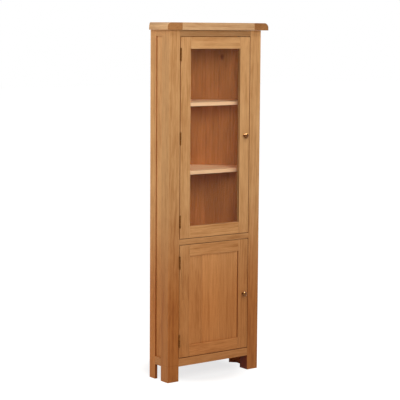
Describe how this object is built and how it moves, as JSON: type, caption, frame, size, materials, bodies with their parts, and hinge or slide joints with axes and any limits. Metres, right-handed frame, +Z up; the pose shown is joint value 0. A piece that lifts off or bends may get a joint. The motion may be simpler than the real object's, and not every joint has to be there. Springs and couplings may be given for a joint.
{
  "type": "corner cupboard",
  "caption": "Tall oak corner display cupboard with a glazed upper door, a panelled lower door, square feet and a moulded top, for standing in the corner of a room.",
  "frame": {"origin": "on the floor, at the centre of the bounding box", "axes": "+Z up, the doors face -Y, the flat back faces +Y, +X to the right of a viewer who faces the doors"},
  "size_m": [0.628, 0.367, 1.8],
  "materials": {
    "oak": "satin lacquered oak, honey coloured",
    "inner_oak": "satin lacquered oak, darker and redder inside",
    "shelf_oak": "satin lacquered pale oak",
    "glass": "clear",
    "aged_brass": "antiqued",
    "bronze": "brown bronze, satin",
    "steel": "plain",
    "dark_plastic": "matt"
  },
  "bodies": {
    "carcass": {"front_left_post": "oak", "front_right_post": "oak", "rear_left_post": "oak", "rear_right_post": "oak", "top_rail": "oak", "middle_rail": "oak", "bottom_rail": "oak", "left_side_top_rail": "oak", "right_side_top_rail": "oak", "left_side_bottom_rail": "oak", "right_side_bottom_rail": "oak", "left_side_panel": "oak", "right_side_panel": "oak", "bottom_board": "oak", "top_left_end_board": "oak", "top_right_end_board": "oak", "top_centre_board": "oak", "back_left_post": "inner_oak", "back_right_post": "inner_oak", "back_left_board_1": "inner_oak", "back_left_board_2": "inner_oak", "back_right_board_1": "inner_oak", "back_right_board_2": "inner_oak", "back_centre_board": "inner_oak", "middle_board": "inner_oak", "lower_shelf": "shelf_oak", "upper_shelf_1": "shelf_oak", "upper_shelf_2": "shelf_oak", "upper_catch": "dark_plastic", "lower_catch": "dark_plastic", "upper_hinge_1_case_leaf": "bronze", "upper_hinge_1_pin": "bronze", "upper_hinge_2_case_leaf": "bronze", "upper_hinge_2_pin": "bronze", "upper_hinge_3_case_leaf": "bronze", "upper_hinge_3_pin": "bronze", "lower_hinge_1_case_leaf": "bronze", "lower_hinge_1_pin": "bronze", "lower_hinge_2_case_leaf": "bronze", "lower_hinge_2_pin": "bronze"},
    "upper_door": {"upper_door_left_stile": "oak", "upper_door_right_stile": "oak", "upper_door_top_rail": "oak", "upper_door_bottom_rail": "oak", "upper_door_glass": "glass", "upper_knob": "aged_brass", "upper_strike": "steel", "upper_hinge_1_door_leaf": "bronze", "upper_hinge_2_door_leaf": "bronze", "upper_hinge_3_door_leaf": "bronze"},
    "lower_door": {"lower_door_left_stile": "oak", "lower_door_right_stile": "oak", "lower_door_top_rail": "oak", "lower_door_bottom_rail": "oak", "lower_door_panel": "oak", "lower_knob": "aged_brass", "lower_strike": "steel", "lower_hinge_1_door_leaf": "bronze", "lower_hinge_2_door_leaf": "bronze"}
  },
  "joints": [
    {"name": "upper_door_hinge", "type": "hinge", "parent": "carcass", "child": "upper_door", "pos_m": [-0.21775, -0.162, 0.7255], "axis": [0, 0, -1], "range_deg": [0, 110]},
    {"name": "lower_door_hinge", "type": "hinge", "parent": "carcass", "child": "lower_door", "pos_m": [-0.21775, -0.162, 0.1205], "axis": [0, 0, -1], "range_deg": [0, 110]}
  ]
}
